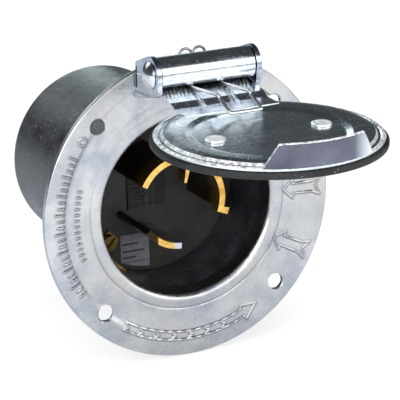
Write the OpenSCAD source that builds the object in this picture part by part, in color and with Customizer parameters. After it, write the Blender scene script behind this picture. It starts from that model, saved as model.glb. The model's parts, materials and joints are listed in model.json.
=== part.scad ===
// Flanged generator inlet: a round panel flange with a deep metal can behind it, four curved
// twist-lock blades inside, and a spring hinged weather lid.
// The panel's face is the XZ plane at y = 0. The front looks along -Y and the hinge is at the top.

/* [Flange] */
// Outer diameter of the flange
flange_d = 101.6; // [98:0.2:106]
// Thickness of the flange at its rim
flange_t = 2.0; // [1.6:0.1:2.6]
// Clear diameter of the opening
opening_d = 60.3; // [58:0.1:61]
// Depth of the gasket's seat below the flange's rim
seat_depth = 1.2; // [0.8:0.1:1.4]
// Radius of the roll round the opening
roll_r = 2.2; // [1.5:0.1:2.6]
// Pitch circle diameter of the four fixing holes
fixing_pcd = 87.8; // [84:0.2:90]
// Diameter of each fixing hole
fixing_hole_d = 5.4; // [4.5:0.1:6]

/* [Can] */
// Outer diameter of the can behind the panel
can_d = 63.5; // [63:0.1:65]
// Depth of the can behind the panel face
can_depth = 79.2; // [76:0.2:90]
// Wall thickness of the can
can_wall = 1.15; // [1:0.05:1.3]
// Radius of the can's rear corner
can_corner_r = 4; // [2:0.5:6]
// Diameter of the cable through the rear grommet
cable_hole_d = 15; // [12:0.5:18]

/* [Blades] */
// Radius of the circle through the middle of the blades
blade_r = 14.85; // [14:0.05:15.5]
// Thickness of each blade
blade_t = 2; // [1.6:0.1:2.4]
// Distance from the panel face back to the blade tips
blade_tip_y = 4.5; // [3:0.5:8]
// Distance from the panel face back to the moulding that holds the blades
carrier_face_y = 29; // [27:0.5:31]

/* [Lid] */
// Outer diameter of the lid's gasket
gasket_d = 70.4; // [70:0.2:70.6]
// Thickness of the lid's gasket
gasket_t = 1.9; // [1.5:0.1:2.5]
// Outer diameter of the metal cover
cover_d = 68.4; // [66:0.4:69.2]
// Thickness of the sheet that the cover and its hinge leaf are pressed from
sheet_t = 0.95; // [0.8:0.05:1.1]
// Distance from the hinge pin to the middle of the lid
lid_reach = 44.2; // [44:0.1:44.6]
// Angle that the lid stands open at
lid_open = 88; // [80:0.5:100]

/* [Hinge] */
// Height of the hinge pin above the middle of the flange
pin_z = 48.5; // [48.2:0.1:48.8]
// Distance of the hinge pin in front of the panel face
pin_y = 13.1; // [13:0.1:14]
// Diameter of the hinge pin
pin_d = 6; // [5.6:0.1:6.2]
// Diameter of the spring wire
wire_d = 1.1; // [0.9:0.05:1.2]
// Outer diameter of the barrel that the leaf is curled into
barrel_d = 10.8; // [10.6:0.1:11]
// Length of the barrel
barrel_len = 32; // [30:0.5:34]

/* [Hidden] */
$fn = 96;

zinc = "#c9ccd0";
black_paint = "#2b2c2e";
phenolic = "#232325";
brass = "#c99a3a";
steel = "#b9bdc4";
rubber = "#1c1c1d";

opening_r = opening_d / 2;
flange_r = flange_d / 2;
gap = 0.15;

// Front face of the flange: flat rim, slope, and the gasket's seat round the opening
rim_in_r = 45.5;
seat_r = 39.6;
seat_y = seat_depth - flange_t;
recess_half = 35;

// Collar behind the opening, which the can's flared mouth fits over
collar_t = 1.4;
collar_depth = 7;
can_r = can_d / 2;
flare_in_r = opening_r + collar_t + 0.1;
flare_out_r = flare_in_r + can_wall;
flare_y = 8.5;
relief_r = flare_out_r + 0.4;
relief_depth = 0.15;
neck_y = 11;
back_y = can_depth - can_wall;

// Mouldings inside the can
carrier_r = can_r - can_wall - gap;
carrier_back_y = carrier_face_y + 18;
housing_r = carrier_r - 1.5;
housing_back_y = carrier_back_y + 17;
pad = [14, 12.5];
pad_at = [-2, -1.75];
pad_h = 0.8;

// Blades: middle angle, half span in degrees, seen from the front with 0 at +X and 90 at the top
line_1 = [241, 27];
line_2 = [125, 27];
line_3 = [7.5, 24.5];
ground = [65, 15];
blades = [line_1, line_2, line_3, ground];
tang_half = 14;
foot_y = carrier_back_y + 9;
foot_w = 8;
foot_r = 24;
clamp_t = 2;
terminal_r = 20.3;
pocket_w = 11;

// Screws through the mouldings: angle of each
insulator_screw_angles = [185, 305];
insulator_screw_r = 23;
leg_angles = [95, 275];
leg_at_r = 23.5;
leg_r = 4.2;
screw_r = 1.5;
screw_hole_r = 1.6;

// Ground strap against the can's wall
strap_angle = 227;
strap_out_r = carrier_r - 1;

// Hinge
pin_r = pin_d / 2;
ear_t = 1.7;
ear_in_x = barrel_len / 2 + 0.3;
ear_out_x = ear_in_x + ear_t;
nose_r = 5.9;
base_t = 1.6;
base_z = [41.4, 50.8];
ear_low_z = 38.8;
base_rivet = [9, 45.6];
barrel_r = barrel_d / 2;
head_r = 3.8;
left_head_h = 2.3;
right_head_h = 1.4;
barrel_in_r = barrel_r - sheet_t;
coil_r = (pin_r + barrel_in_r) / 2;
wire_r = wire_d / 2;

// Lid, in its own frame: x across, y from the pin to the free end, z out of the lid's outer face
seat_gap = 0.3;
face_h = -(pin_y - flange_t + seat_depth - seat_gap);
cover_r = cover_d / 2;
crown_r = 28.8;
crown_h = 4;
dish_r = 24.6;
floor_r = 22.6;
floor_h = 3.1;
lip_h = 10.2;
lip_half_base = 31;
lip_half_top = 22.5;
rivet_x = 17.6;
rivet_r = 3.15;
retainer_r = 26;
retainer_t = 0.8;
leaf_end = [10.4, -6.4];
riser_end = [13.6, face_h + crown_h + 0.05];

// Spring
leg_x = 5.3;
leg_skew = 1.8;
coil_end_x = barrel_len / 2 - wire_r - 0.1;
coil_pitch = 1.25;
coil_steps = 16;

// --- Helpers -------------------------------------------------------------------------------

function arc(c, r, a0, a1, n) = [
    for (i = [0 : n])
        let (a = a0 + (a1 - a0) * i / n)
        [c[0] + r * cos(a), c[1] + r * sin(a)]
];

// A shape drawn as (x, z) and pushed along +Y from y0 to y1
module along_y(y0, y1) {
    translate([0, y1, 0])
        rotate([90, 0, 0])
            linear_extrude(y1 - y0)
                children();
}

// A shape drawn as (y, z) and pushed along +X from x0 to x1
module along_x(x0, x1) {
    translate([x0, 0, 0])
        rotate([90, 0, 90])
            linear_extrude(x1 - x0)
                children();
}

// A profile drawn as (radius, depth behind the panel face) and turned about the Y axis
module turned() {
    rotate([-90, 0, 0])
        rotate_extrude()
            children();
}

module ring_2d(r_out, r_in) {
    difference() {
        circle(r_out);
        circle(r_in);
    }
}

// Part of a ring between two angles less than 180 degrees apart
module ring_part(r_out, r_in, a0, a1) {
    far = 2 * r_out;
    mid = (a0 + a1) / 2;
    intersection() {
        ring_2d(r_out, r_in);
        polygon([
            [0, 0],
            far * [cos(a0), sin(a0)],
            far * [cos(mid), sin(mid)],
            far * [cos(a1), sin(a1)]
        ]);
    }
}

module at_angle(a, r) {
    translate([r * cos(a), 0, r * sin(a)])
        rotate([0, -a, 0])
            children();
}

module rod_y(r, y0, y1) {
    translate([0, y0, 0])
        rotate([-90, 0, 0])
            cylinder(r = r, h = y1 - y0);
}

module rod_x(r, x0, x1) {
    translate([x0, 0, 0])
        rotate([0, 90, 0])
            cylinder(r = r, h = x1 - x0);
}

module at_pin() {
    translate([0, -pin_y, pin_z])
        children();
}

// Puts a piece drawn in the lid's own frame at the angle that the lid stands open at
module on_lid() {
    at_pin()
        rotate([lid_open - 90, 0, 180])
            children();
}

// --- Flange and can --------------------------------------------------------------------------

module flange_profile() {
    roll = [opening_r + roll_r, roll_r + seat_y];
    polygon(concat(
        [[flange_r, 0], [flange_r, 0.6 - flange_t], [flange_r - 0.6, -flange_t]],
        [[rim_in_r, -flange_t], [seat_r, seat_y]],
        arc(roll, roll_r, -90, -180, 8),
        [
            [opening_r, collar_depth],
            [opening_r + collar_t, collar_depth],
            [opening_r + collar_t, -relief_depth],
            [relief_r, -relief_depth],
            [relief_r, 0]
        ]
    ));
}

module flange_plate() {
    color(zinc)
        difference() {
            turned() flange_profile();
            along_y(-flange_t - 1, seat_y)
                ring_part(rim_in_r - 0.5, seat_r - 0.2, 90 - recess_half, 90 + recess_half);
            for (a = [45 : 90 : 315])
                at_angle(a, fixing_pcd / 2)
                    rod_y(fixing_hole_d / 2, -flange_t - 1, 1);
        }
}

module can_profile() {
    outer_corner = [can_r - can_corner_r, can_depth - can_corner_r];
    inner_r = can_corner_r - can_wall;
    polygon(concat(
        [[flare_in_r, 0.6], [flare_out_r, 0.6], [flare_out_r, flare_y], [can_r, neck_y]],
        arc(outer_corner, can_corner_r, 0, 90, 6),
        [[11, can_depth], [11, back_y]],
        arc(outer_corner, inner_r, 90, 0, 6),
        [[can_r - can_wall, neck_y], [flare_in_r, flare_y]]
    ));
}

module housing_can() {
    color(black_paint)
        difference() {
            turned() can_profile();
            for (a = leg_angles)
                at_angle(a, leg_at_r)
                    rod_y(screw_hole_r, back_y - 1, can_depth + 1);
        }
}

module cable_grommet() {
    hole_r = cable_hole_d / 2;
    color(rubber)
        turned()
            polygon([
                [hole_r, back_y - 2.5], [12.8, back_y - 2.5], [12.8, back_y - gap],
                [10.85, back_y - gap], [10.85, can_depth + gap], [12.8, can_depth + gap],
                [12.4, can_depth + 2], [9.4, can_depth + 3.2], [hole_r, can_depth + 3.2]
            ]);
}

// --- Mouldings -------------------------------------------------------------------------------

module carrier_pad() {
    along_y(carrier_face_y - pad_h, carrier_face_y + 1)
        translate(pad_at)
            square(pad, center = true);
}

module pad_grooves() {
    groove = 0.5;
    pitch = 1.5;
    for (i = [-3 : 3])
        along_y(carrier_face_y - pad_h - 1, carrier_face_y - pad_h + 0.4)
            translate(pad_at + [-pad[0] / 4, i * pitch])
                square([pad[0] / 2 - 1.5, groove], center = true);
}

module blade_slots() {
    for (b = blades)
        along_y(carrier_face_y - 1, carrier_back_y + 1)
            ring_part(blade_r + blade_t / 2 + 0.1, blade_r - blade_t / 2 - 0.1,
                b[0] - b[1] - 0.6, b[0] + b[1] + 0.6);
}

module blade_carrier() {
    color(phenolic)
        difference() {
            union() {
                along_y(carrier_face_y, carrier_back_y) circle(carrier_r);
                carrier_pad();
            }
            blade_slots();
            pad_grooves();
            for (a = insulator_screw_angles)
                at_angle(a, insulator_screw_r)
                    rod_y(screw_hole_r, carrier_face_y + 3, carrier_back_y + 1);
            at_angle(strap_angle, strap_out_r - 5)
                rod_y(screw_hole_r, carrier_face_y - 1, carrier_face_y + 9);
        }
}

module terminal_pocket(a) {
    depth = housing_r - 1.6 - 12.4;
    at_angle(a, 12.4 + depth / 2)
        translate([0, (carrier_back_y + housing_back_y) / 2 + 1, 0])
            cube([depth, housing_back_y - carrier_back_y, pocket_w], center = true);
}

module terminal_housing() {
    color(phenolic)
        difference() {
            union() {
                along_y(carrier_back_y + 0.05, housing_back_y) circle(housing_r);
                for (a = leg_angles)
                    at_angle(a, leg_at_r)
                        rod_y(leg_r, housing_back_y - 1, back_y - 0.05);
            }
            for (b = blades) terminal_pocket(b[0]);
            for (b = blades)
                along_y(carrier_back_y - 1, housing_back_y - 2)
                    ring_part(blade_r + blade_t / 2 + 0.15, blade_r - blade_t / 2 - 0.15,
                        b[0] - tang_half - 1, b[0] + tang_half + 1);
            for (a = insulator_screw_angles)
                at_angle(a, insulator_screw_r)
                    rod_y(screw_hole_r, carrier_back_y - 1, housing_back_y + 1);
            for (a = leg_angles)
                at_angle(a, leg_at_r)
                    rod_y(screw_hole_r, back_y - 14, back_y + 1);
        }
}

// --- Blades and terminals --------------------------------------------------------------------

// The curved contact, its tang through the mouldings and the foot that takes the wire
module blade_body(b) {
    along_y(blade_tip_y, carrier_back_y - 3)
        ring_part(blade_r + blade_t / 2, blade_r - blade_t / 2, b[0] - b[1], b[0] + b[1]);
    along_y(carrier_back_y - 4, foot_y)
        ring_part(blade_r + blade_t / 2, blade_r - blade_t / 2, b[0] - tang_half, b[0] + tang_half);
    difference() {
        at_angle(b[0], (blade_r + foot_r) / 2)
            translate([0, foot_y - 1, 0])
                cube([foot_r - blade_r, 2, foot_w], center = true);
        at_angle(b[0], terminal_r)
            rod_y(2, foot_y - 5, foot_y + 5);
    }
}

module line_blade_1() {
    color(brass)
        blade_body(line_1);
}

module line_blade_2() {
    color(brass)
        blade_body(line_2);
}

// This blade's tip is turned outwards at its low end
module line_blade_3() {
    low = line_3[0] - line_3[1];
    color(brass)
        union() {
            blade_body(line_3);
            along_y(blade_tip_y, blade_tip_y + 4)
                ring_part(blade_r + 3, blade_r - blade_t / 2, low - 5, low + 2.5);
        }
}

// The ground blade's tip is turned inwards
module ground_blade() {
    high = ground[0] + ground[1];
    color(brass)
        union() {
            blade_body(ground);
            along_y(blade_tip_y, blade_tip_y + 5)
                ring_part(blade_r, 6.6, high - 6.5, high + 1);
        }
}

module terminal_clamps() {
    color(brass)
        for (b = blades)
            difference() {
                at_angle(b[0], terminal_r)
                    translate([0, foot_y + clamp_t / 2 + 0.1, 0])
                        cube([7, clamp_t, foot_w], center = true);
                at_angle(b[0], terminal_r)
                    rod_y(2, foot_y - 1, foot_y + 5);
            }
}

module terminal_screws() {
    color(steel)
        for (b = blades)
            at_angle(b[0], terminal_r)
                screw(1.9, 3.1, foot_y + clamp_t + 0.15, 8, 2.2);
}

// A pan head screw along Y, its head behind y and its shank in front of it
module screw(shank_r, head_radius, y, length, head_h) {
    difference() {
        union() {
            rod_y(shank_r, y - length, y + 0.5);
            rod_y(head_radius, y, y + head_h);
        }
        translate([0, y + head_h, 0])
            cube([2.4 * head_radius, head_h, 0.9], center = true);
    }
}

module insulator_screws() {
    color(steel)
        for (a = insulator_screw_angles)
            at_angle(a, insulator_screw_r)
                screw(screw_r, 2.8, housing_back_y + 0.05, housing_back_y - carrier_face_y - 4, 2);
}

module can_screws() {
    color(steel)
        for (a = leg_angles)
            at_angle(a, leg_at_r)
                screw(screw_r, 3, can_depth + 0.05, 13, 2.1);
}

// A brass strip from the face of the moulding to the can's wall, with a wave in it
module ground_strap() {
    foot_in_r = strap_out_r - 8;
    y_face = carrier_face_y - 0.05;
    color(brass)
        difference() {
            union() {
                along_y(y_face - 0.8, y_face)
                    ring_part(strap_out_r, foot_in_r, strap_angle - 7, strap_angle + 7);
                along_y(13, y_face)
                    ring_part(strap_out_r, strap_out_r - 0.8, strap_angle - 7, strap_angle + 7);
                for (y = [14.5, 18.5, 22.5])
                    along_y(y, y + 2)
                        ring_part(carrier_r - 0.2, strap_out_r - 0.4, strap_angle - 6, strap_angle + 6);
            }
            at_angle(strap_angle, strap_out_r - 5)
                rod_y(screw_hole_r + 0.1, y_face - 5, y_face + 1);
        }
}

module ground_screw() {
    color(brass)
        at_angle(strap_angle, strap_out_r - 5)
            translate([0, 2 * carrier_face_y - 1.8, 0])
                rotate([180, 0, 0])
                    screw(screw_r, 2.5, carrier_face_y - 0.85, 8, 1.6);
}

module rating_label() {
    color("gainsboro")
        along_y(carrier_face_y - 0.3, carrier_face_y - 0.02)
            intersection() {
                circle(carrier_r - 1.5);
                translate([-12.2, -29.5]) square([10.6, 12.8]);
            }
}

// --- Hinge -----------------------------------------------------------------------------------

// Outline of an ear, as (y, z), from the flange's face to the nose round the pin
module ear_2d() {
    low_front = 25;
    difference() {
        union() {
            translate([-pin_y, pin_z]) circle(nose_r);
            polygon([
                [seat_y - 0.02, ear_low_z],
                [-flange_t - 15.2, ear_low_z + 3.4],
                [-flange_t - 16.3, ear_low_z + 4.5],
                [-pin_y - nose_r * cos(low_front), pin_z - nose_r * sin(low_front)],
                [-pin_y, pin_z],
                [-pin_y + nose_r * cos(75), pin_z + nose_r * sin(75)],
                [-flange_t - 0.02, base_z[1]],
                [-flange_t - 0.02, base_z[0]],
                [seat_y - 0.02, base_z[0] - 0.3]
            ]);
        }
        translate([-pin_y, pin_z]) circle(pin_r + 0.05);
    }
}

module hinge_bracket() {
    color(steel)
        difference() {
            union() {
                along_x(-ear_out_x, -ear_in_x) ear_2d();
                along_x(ear_in_x, ear_out_x) ear_2d();
                translate([-ear_out_x, -flange_t - base_t, base_z[0]])
                    cube([2 * ear_out_x, base_t - 0.02, base_z[1] - base_z[0]]);
            }
            for (x = [-base_rivet[0], base_rivet[0]])
                translate([x, 0, base_rivet[1]])
                    rod_y(1.6, -flange_t - base_t - 1, 0);
        }
}

module bracket_rivets() {
    color(steel)
        for (x = [-base_rivet[0], base_rivet[0]])
            translate([x, 0, base_rivet[1]]) {
                rod_y(1.55, -flange_t - base_t - 0.5, -flange_t);
                rod_y(2.8, -flange_t - base_t - 1.1, -flange_t - base_t);
            }
}

// A crowned rivet head, its flat side at x = 0 and its crown at x = h
module dome(base_r, h) {
    ball_r = (base_r * base_r + h * h) / (2 * h);
    low = asin((ball_r - h) / ball_r);
    rotate([0, 90, 0])
        rotate_extrude()
            polygon(concat([[0, 0]], arc([0, h - ball_r], ball_r, low, 90, 8)));
}

module hinge_pin() {
    end_x = ear_out_x + 0.05;
    color(steel)
        at_pin()
            union() {
                rod_x(pin_r, -end_x - 0.2, end_x + 0.2);
                translate([end_x, 0, 0]) dome(head_r, right_head_h);
                mirror([1, 0, 0]) translate([end_x, 0, 0]) dome(head_r, left_head_h);
            }
}

// Two wire eyes that hold the spring's tails at the flange's top edge
module spring_tails() {
    eye_r = 2.2;
    r = 0.45;
    eye_z = 51.1;
    foot_z = 44.5;
    color(steel)
        for (x = [-1.5, 3.1])
            translate([x, -flange_t - base_t - r - 0.05, 0]) {
                translate([0, 0, eye_z])
                    rotate([90, 0, 0])
                        rotate_extrude(angle = 180)
                            translate([eye_r, 0]) circle(r);
                for (side = [-1, 1])
                    translate([side * eye_r, 0, foot_z])
                        cylinder(r = r, h = eye_z - foot_z);
            }
}

// --- Lid, drawn in its own frame -------------------------------------------------------------

module lid_disc() {
    translate([0, lid_reach, face_h])
        rotate_extrude()
            polygon([
                [0, floor_h - sheet_t], [floor_r, floor_h - sheet_t], [dish_r, crown_h - sheet_t - 0.2],
                [crown_r - 0.6, crown_h - sheet_t], [31.4, gasket_t + 0.05],
                [cover_r - 0.5, gasket_t + 0.05], [cover_r, gasket_t + 0.5],
                [cover_r, 2.8], [cover_r - 0.5, 3.2], [32.2, 3.2], [crown_r, crown_h],
                [dish_r, crown_h - 0.2], [floor_r, floor_h], [0, floor_h]
            ]);
}

module thumb_lip() {
    translate([0, lid_reach, face_h])
        intersection() {
            translate([0, 0, 2.3])
                linear_extrude(lip_h - 2.3)
                    ring_part(cover_r - 0.1, cover_r - 1.1, 90 - lip_half_base, 90 + lip_half_base);
            rotate([90, 0, 0])
                translate([0, 0, -cover_r - 5])
                    linear_extrude(cover_r + 5)
                        polygon([
                            [-cover_r * sin(lip_half_base), 0], [cover_r * sin(lip_half_base), 0],
                            [cover_r * sin(lip_half_base), 3],
                            [cover_r * sin(lip_half_top), lip_h - 1], [cover_r * sin(lip_half_top) - 2, lip_h],
                            [2 - cover_r * sin(lip_half_top), lip_h], [-cover_r * sin(lip_half_top), lip_h - 1],
                            [-cover_r * sin(lip_half_base), 3]
                        ]);
        }
}

// Section of the leaf and the barrel it is curled into, as (y, z) of the lid's frame
module leaf_2d() {
    free_edge = -38;
    difference() {
        ring_2d(barrel_r, barrel_in_r);
        polygon([
            [0, 0],
            2 * barrel_r * [cos(free_edge), sin(free_edge)],
            2 * barrel_r * [1, -1],
            [0, -2 * barrel_r]
        ]);
    }
    polygon([
        [-0.6, -barrel_in_r - 0.1], leaf_end, riser_end,
        [21.5, riser_end[1]], [21.5, riser_end[1] - sheet_t],
        [riser_end[0] - 0.5, riser_end[1] - sheet_t],
        [leaf_end[0] - 0.5, leaf_end[1] - sheet_t], [-0.6, -barrel_in_r - 0.8]
    ]);
}

module lid_cover() {
    color(zinc)
        on_lid()
            difference() {
                union() {
                    lid_disc();
                    thumb_lip();
                    along_x(-barrel_len / 2, barrel_len / 2) leaf_2d();
                }
                for (x = [-rivet_x, rivet_x])
                    translate([x, lid_reach, face_h])
                        cylinder(r = 1.65, h = lip_h);
            }
}

module lid_gasket() {
    color(rubber)
        on_lid()
            translate([0, lid_reach, face_h])
                difference() {
                    cylinder(r = gasket_d / 2, h = gasket_t);
                    translate([0, 0, -1]) cylinder(r = retainer_r + 0.1, h = retainer_t + 1);
                    for (x = [-rivet_x, rivet_x])
                        translate([x, 0, -1]) cylinder(r = 1.65, h = gasket_t + 2);
                }
}

module gasket_retainer() {
    color(zinc)
        on_lid()
            translate([0, lid_reach, face_h])
                difference() {
                    cylinder(r = retainer_r, h = retainer_t - 0.05);
                    for (x = [-rivet_x, rivet_x])
                        translate([x, 0, -1]) cylinder(r = 1.65, h = retainer_t + 2);
                }
}

module lid_rivets() {
    color(steel)
        on_lid()
            for (x = [-rivet_x, rivet_x])
                translate([x, lid_reach, face_h]) {
                    translate([0, 0, -0.8]) cylinder(r = 1.6, h = floor_h + 1.2);
                    translate([0, 0, floor_h + 0.02]) cylinder(r = rivet_r, h = 1.2);
                    translate([0, 0, -1]) cylinder(r = 2.6, h = 0.95);
                }
}

// --- Spring ----------------------------------------------------------------------------------

function unit(v) = v / norm(v);

function coil_turns() = floor((coil_end_x - leg_x) / coil_pitch);

// One coil from its outer end, ending at its lowest point where the leg begins
function coil_path(side) = [
    for (i = [0 : coil_turns() * coil_steps])
        let (a = -90 - 360 * (coil_turns() - i / coil_steps))
        [
            side * (leg_x + coil_pitch * (coil_turns() - i / coil_steps)),
            coil_r * cos(a),
            coil_r * sin(a)
        ]
];

leg_bend = [20.1, -3.2];
bar_at = [26.2, face_h + crown_h + wire_r + 0.2];

// One leg from the barrel's slot, over the leaf and down to the bar that presses on the lid
function leg_path(side) = [
    [side * leg_x, 4.5, -4.35],
    [side * leg_x - 0.2 * leg_skew, 12, -3.8],
    [side * leg_x - 0.4 * leg_skew, leg_bend[0] - 1.2, leg_bend[1] + 0.1],
    [side * leg_x - 0.5 * leg_skew, leg_bend[0], leg_bend[1] - 0.2],
    [side * leg_x - 0.6 * leg_skew, leg_bend[0] + 0.9, leg_bend[1] - 1],
    [side * leg_x - 0.9 * leg_skew, bar_at[0] - 1.2, bar_at[1] + 0.8],
    [side * (leg_x - 0.2) - leg_skew, bar_at[0] - 0.3, bar_at[1] + 0.1],
    [side * (leg_x - 1.1) - leg_skew, bar_at[0], bar_at[1]]
];

function reversed(list) = [for (i = [len(list) - 1 : -1 : 0]) list[i]];

spring_path = concat(coil_path(-1), leg_path(-1), reversed(leg_path(1)), reversed(coil_path(1)));

function tangents(path) = [
    for (i = [0 : len(path) - 1])
        unit(path[min(i + 1, len(path) - 1)] - path[max(i - 1, 0)])
];

// A vector square to the path at each point, carried along it without twist
function side_vectors(t, i = 0, s = [1, 0, 0]) =
    i == len(t) ? [] :
    let (n = unit(s - (s * t[i]) * t[i]))
    concat([n], side_vectors(t, i + 1, n));

module wire(path, r, sides = 6) {
    t = tangents(path);
    n = side_vectors(t);
    last = len(path) - 1;
    rings = [
        for (i = [0 : last], k = [0 : sides - 1])
            let (a = 360 * k / sides)
            path[i] + r * (cos(a) * n[i] + sin(a) * cross(t[i], n[i]))
    ];
    walls = [
        for (i = [0 : last - 1], k = [0 : sides - 1], half = [0, 1])
            let (
                a = i * sides + k,
                b = i * sides + (k + 1) % sides
            )
            half == 0 ? [b, a, a + sides] : [b, a + sides, b + sides]
    ];
    polyhedron(
        rings,
        concat(
            walls,
            [[for (k = [0 : sides - 1]) k]],
            [[for (k = [sides - 1 : -1 : 0]) last * sides + k]]
        )
    );
}

module torsion_spring() {
    color(steel)
        on_lid()
            wire(spring_path, wire_r);
}

flange_plate();
housing_can();
blade_carrier();
terminal_housing();
line_blade_1();
line_blade_2();
line_blade_3();
ground_blade();
ground_strap();
ground_screw();
rating_label();
terminal_clamps();
terminal_screws();
insulator_screws();
can_screws();
cable_grommet();
hinge_bracket();
bracket_rivets();
hinge_pin();
spring_tails();
lid_cover();
lid_gasket();
gasket_retainer();
lid_rivets();
torsion_spring();
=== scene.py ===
import json
import math
import bpy
import numpy as np
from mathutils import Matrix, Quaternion, Vector


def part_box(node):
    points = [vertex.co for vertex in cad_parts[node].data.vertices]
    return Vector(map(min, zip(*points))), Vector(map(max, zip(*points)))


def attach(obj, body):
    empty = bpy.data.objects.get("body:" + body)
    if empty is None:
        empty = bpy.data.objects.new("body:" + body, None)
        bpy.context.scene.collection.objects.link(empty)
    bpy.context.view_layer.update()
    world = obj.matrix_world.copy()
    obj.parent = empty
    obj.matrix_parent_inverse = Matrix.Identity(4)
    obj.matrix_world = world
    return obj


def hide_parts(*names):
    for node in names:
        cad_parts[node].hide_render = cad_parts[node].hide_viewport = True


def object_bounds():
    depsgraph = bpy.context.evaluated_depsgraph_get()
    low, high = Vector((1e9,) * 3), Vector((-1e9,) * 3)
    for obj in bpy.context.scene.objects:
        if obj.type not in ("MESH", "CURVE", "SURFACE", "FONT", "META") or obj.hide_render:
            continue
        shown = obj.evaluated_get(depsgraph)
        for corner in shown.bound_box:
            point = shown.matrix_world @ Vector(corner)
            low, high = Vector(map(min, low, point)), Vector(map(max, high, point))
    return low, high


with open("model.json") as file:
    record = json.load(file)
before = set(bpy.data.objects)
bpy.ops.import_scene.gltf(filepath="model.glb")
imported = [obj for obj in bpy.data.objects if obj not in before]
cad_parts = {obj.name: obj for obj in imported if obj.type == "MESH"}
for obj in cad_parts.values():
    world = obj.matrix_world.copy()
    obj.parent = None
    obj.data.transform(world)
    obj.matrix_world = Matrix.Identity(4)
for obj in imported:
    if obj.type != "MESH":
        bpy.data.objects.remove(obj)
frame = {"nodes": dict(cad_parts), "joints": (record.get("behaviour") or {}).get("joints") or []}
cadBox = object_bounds()
mm = 0.001


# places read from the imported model, in millimetres
def boxOf(node):
    low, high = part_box(node)
    return np.array(low) / mm, np.array(high) / mm


flangeLow, flangeHigh = boxOf("flange_plate")
flangeRadius = flangeHigh[0]
rimFace = flangeLow[1]
canRadius = 31.75  # the can's straight wall
canBack = boxOf("housing_can")[1][1]
earOutside = boxOf("hinge_bracket")[1][0]
pinAt = sum(boxOf("hinge_pin")) / 2
pinAt[0] = 0
lidTilt = math.radians(frame["joints"][0]["range_deg"][1] - 90)  # how far the open lid is from level


def onPanel(points):
    # (across, up, depth behind the panel face) to the shared frame
    p = np.asarray(points, float)
    return np.stack([p[:, 0], p[:, 2], p[:, 1]], 1) * mm


def onPin(points):
    # (in front, above, along the pin) measured from the hinge pin
    p = np.asarray(points, float)
    return np.stack([p[:, 2], pinAt[1] - p[:, 0], pinAt[2] + p[:, 1]], 1) * mm


def onLid(points):
    # lid's own frame: (across, out from the pin, out of the lid's face)
    p = np.asarray(points, float)
    c, s = math.cos(lidTilt), math.sin(lidTilt)
    y = -(p[:, 1] * c - p[:, 2] * s)
    z = p[:, 1] * s + p[:, 2] * c
    return np.stack([-p[:, 0], pinAt[1] + y, pinAt[2] + z], 1) * mm


def intoLid(point):
    # the other way: a point of the shared frame, in millimetres, to the lid's own frame
    c, s = math.cos(lidTilt), math.sin(lidTilt)
    y, z = -(point[1] - pinAt[1]), point[2] - pinAt[2]
    return np.array([-point[0], y * c + z * s, -y * s + z * c])


lidCentre = intoLid(sum(boxOf("lid_gasket")) / 2)
lidReach = lidCentre[1]
gasketThickness = 1.9
lidFace = lidCentre[2] - gasketThickness / 2
seatMiddle = np.array([0, lidReach, lidFace])


def onDisc(points):
    # (across, along, height) from the middle of the lid's seating face
    return onLid(np.asarray(points, float) + seatMiddle)


print("frame: pin at", np.round(pinAt, 2), "lid centre", round(lidReach, 2), "face", round(lidFace, 2))


# drawing helpers
def arc(centre, radius, start, end, steps):
    angles = np.radians(np.linspace(start, end, steps + 1))
    return [(centre[0] + radius * math.cos(a), centre[1] + radius * math.sin(a)) for a in angles]


def rounded(points, radius, steps=4, closed=True):
    # an outline with each corner eased by a short curve
    pts = [np.array(p, float) for p in points]
    out = []
    for i, p in enumerate(pts):
        r = radius[i] if isinstance(radius, list) else radius
        a, b = pts[i - 1] - p, pts[(i + 1) % len(pts)] - p
        la, lb = np.linalg.norm(a), np.linalg.norm(b)
        turn = math.acos(max(-1, min(1, float(a @ b) / (la * lb))))
        if r <= 0 or turn > 3.1 or not closed and i in (0, len(pts) - 1):
            out.append(p)
            continue
        cut = min(r / math.tan(turn / 2), 0.45 * la, 0.45 * lb)
        s, e = p + a / la * cut, p + b / lb * cut
        for t in np.arange(steps + 1) / steps:
            out.append((1 - t) ** 2 * s + 2 * t * (1 - t) * p + t * t * e)
    return np.array(out)


def gridFaces(rows, columns, wrapRows=False, wrapColumns=False):
    i = np.arange(rows if wrapRows else rows - 1)[:, None]
    j = np.arange(columns if wrapColumns else columns - 1)[None, :]
    below, beside = (i + 1) % rows, (j + 1) % columns
    corners = [i * columns + j, i * columns + beside, below * columns + beside, below * columns + j]
    return np.stack(corners, -1).reshape(-1, 4).tolist()


def spun(profile, segments):
    # the points of a (radius, depth) outline, turned once round
    profile = np.asarray(profile, float)
    a = np.linspace(0, 2 * math.pi, segments, endpoint=False)
    x = np.outer(np.cos(a), profile[:, 0])
    y = np.outer(np.sin(a), profile[:, 0])
    z = np.tile(profile[:, 1], (segments, 1))
    return np.stack([x, y, z], -1).reshape(-1, 3)


def turned(profile, segments):
    # a closed outline turned once round
    return spun(profile, segments), gridFaces(segments, len(profile), True, True)


def turnedSolid(profile, segments):
    # an open outline that starts and ends on the axis
    count = len(profile) - 2
    verts = np.vstack([spun(profile[1:-1], segments), [0, 0, profile[0][1]], [0, 0, profile[-1][1]]])
    faces = gridFaces(segments, count, True, False)
    low = segments * count
    for i in range(segments):
        k = (i + 1) % segments
        faces.append([low, k * count, i * count])
        faces.append([low + 1, (i + 1) * count - 1, (k + 1) * count - 1])
    return verts, faces


def sleeve(rings, count):
    # faces along a row of rings, with both ends closed
    ends = [list(range(count))[::-1], [(rings - 1) * count + i for i in range(count)]]
    return gridFaces(rings, count, False, True) + ends


def extruded(outline, start, end):
    # a closed flat outline pushed along its third axis
    verts = np.vstack([np.column_stack([outline, np.full(len(outline), v)]) for v in (start, end)])
    return verts, sleeve(2, len(outline))


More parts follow.
